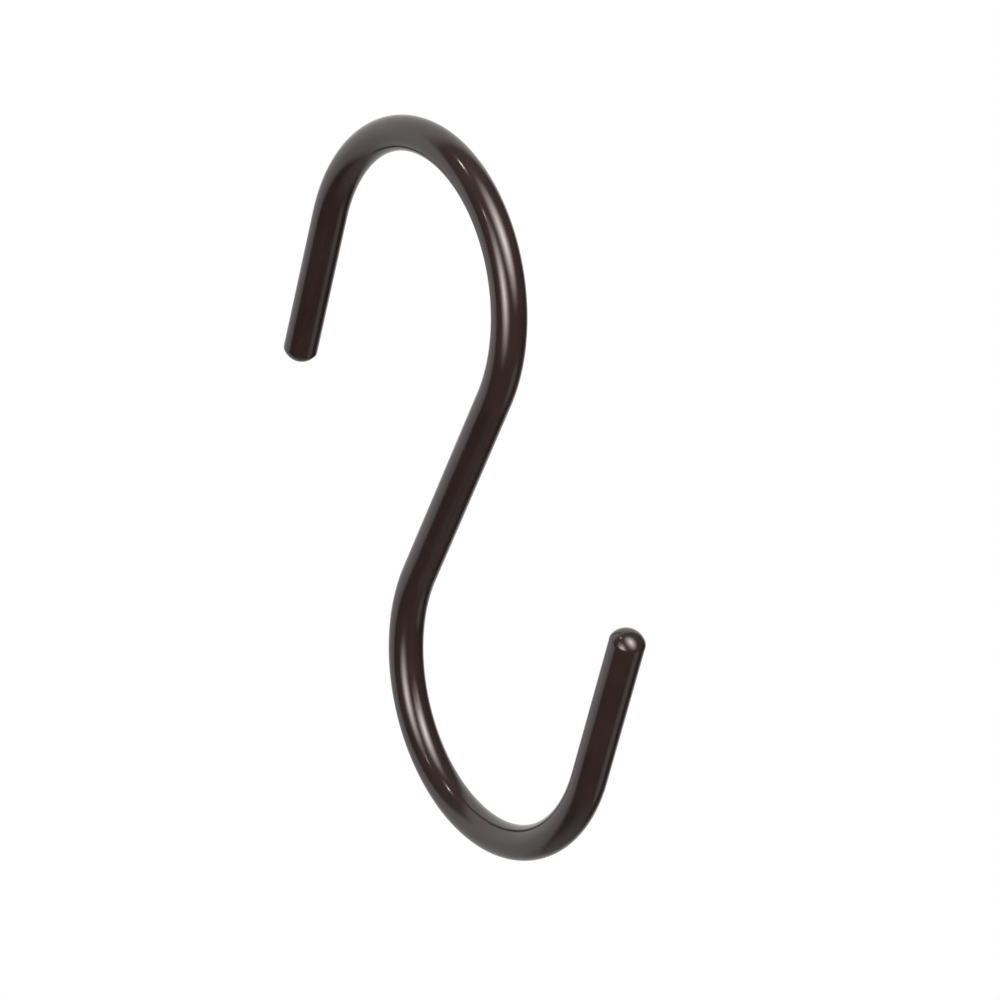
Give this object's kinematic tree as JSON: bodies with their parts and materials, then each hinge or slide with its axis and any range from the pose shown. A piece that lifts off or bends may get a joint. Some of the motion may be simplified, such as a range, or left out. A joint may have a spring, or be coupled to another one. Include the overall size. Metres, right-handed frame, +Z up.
{
  "type": "s hook",
  "caption": "S-shaped hook bent from one round wire with a dark glossy coat: it hangs by its upper loop on a bar and holds a load in its lower loop.",
  "frame": {"origin": "bearing point at the inside top of the upper loop, on the middle plane of the wire", "axes": "+Z up as the hook hangs with its two loop centres one above the other, +X towards the side that the lower loop opens to, Y square to the plane of the bent wire"},
  "size_m": [0.0566, 0.0042, 0.0887],
  "materials": {
    "coat": "glossy dark brown coat over steel wire"
  },
  "bodies": {
    "root": {"hook": "coat"}
  },
  "joints": []
}
